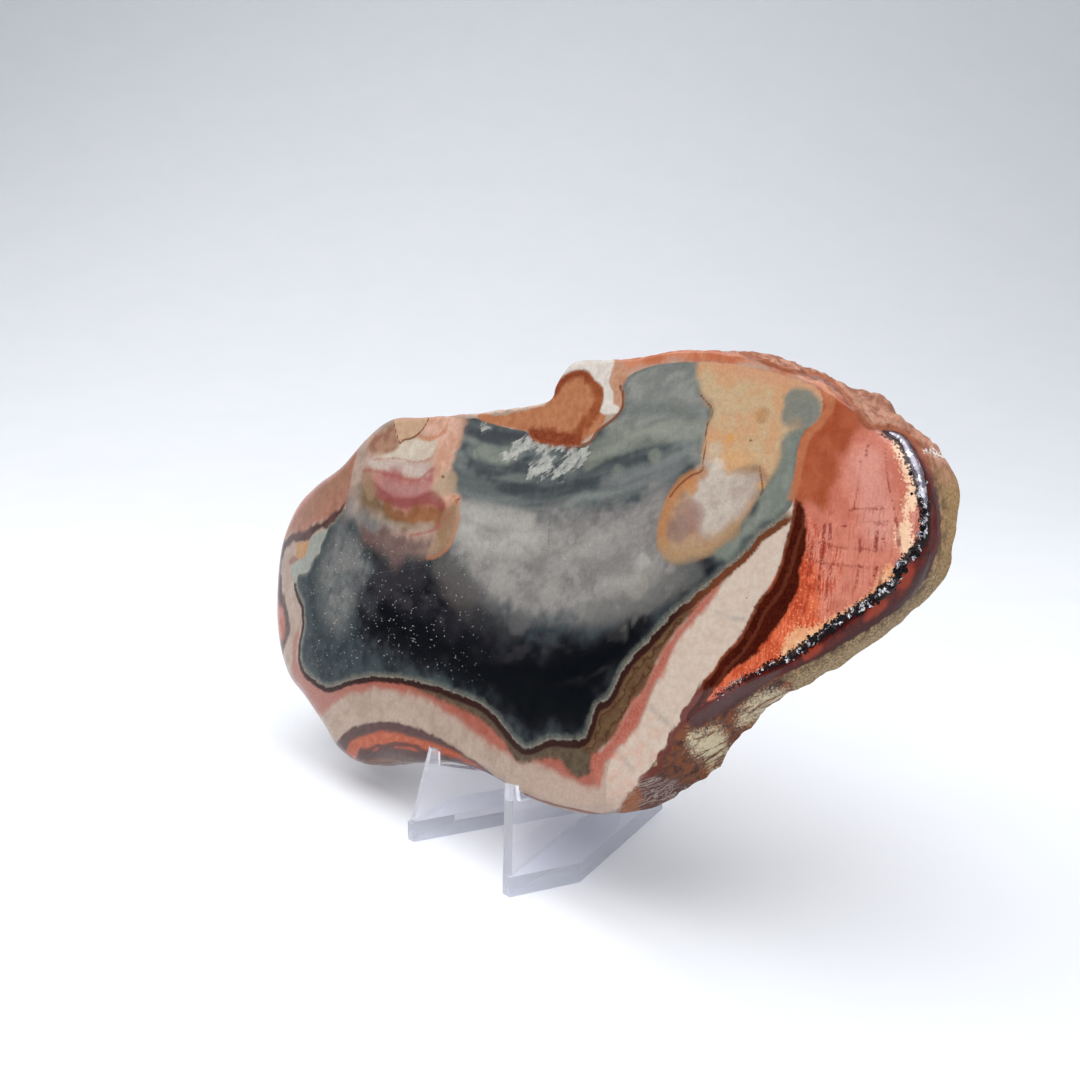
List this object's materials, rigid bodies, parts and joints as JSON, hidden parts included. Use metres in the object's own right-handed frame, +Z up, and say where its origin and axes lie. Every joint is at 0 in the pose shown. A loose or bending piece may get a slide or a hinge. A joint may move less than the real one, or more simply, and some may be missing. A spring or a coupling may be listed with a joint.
{
  "type": "jasper slice",
  "caption": "Polished polychrome jasper slice with a rough natural rim, leaning back on a small clear plastic easel stand with retaining lips.",
  "frame": {"origin": "middle of the underside of the whole object's bounding box, on the surface that it stands on", "axes": "+X to the right along the slice's length, seen from the front, +Y to the back, +Z up"},
  "size_m": [0.1688, 0.046, 0.0909],
  "materials": {
    "polished_jasper": "polished face with a rough natural rim",
    "clear_plastic": "clear, moulded, glossy"
  },
  "bodies": {
    "root": {"jasper_slice": "polished_jasper", "display_stand": "clear_plastic"}
  },
  "joints": []
}
